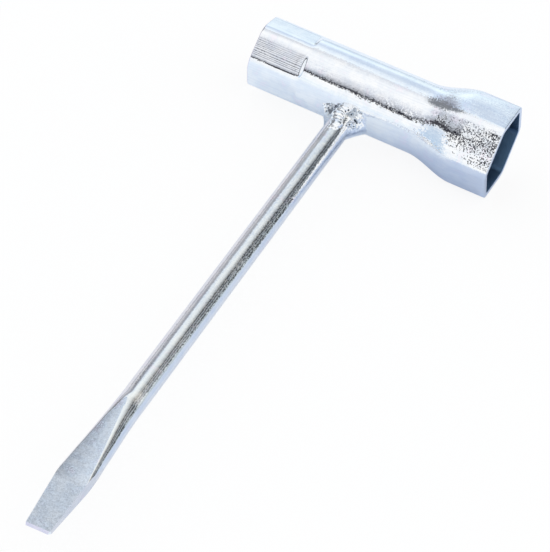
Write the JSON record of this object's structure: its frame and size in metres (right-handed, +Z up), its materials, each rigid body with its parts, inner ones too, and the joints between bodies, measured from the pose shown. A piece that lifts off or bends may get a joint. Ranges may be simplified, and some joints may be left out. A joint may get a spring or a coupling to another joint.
{
  "type": "spark plug wrench",
  "caption": "T-shaped spark plug wrench: a zinc plated tube formed to a hexagon socket at each end, with a welded bar forged to a flat screwdriver blade.",
  "frame": {"origin": "on the axis of the tube, above the axis of the bar, which lies 1.5 mm lower", "axes": "+X along the tube towards the large socket, -Y along the bar towards the blade, +Z up out of the plane of the T"},
  "size_m": [0.0688, 0.1783, 0.0234],
  "materials": {
    "tube_zinc": "bright blue-white zinc plate over drawn steel tube",
    "bar_zinc": "bright blue-white zinc plate over forged steel bar",
    "weld_zinc": "zinc plate over rippled weld metal"
  },
  "bodies": {
    "root": {"socket_tube": "tube_zinc", "driver_bar": "bar_zinc", "root_weld": "weld_zinc", "cap_weld": "weld_zinc"}
  },
  "joints": []
}
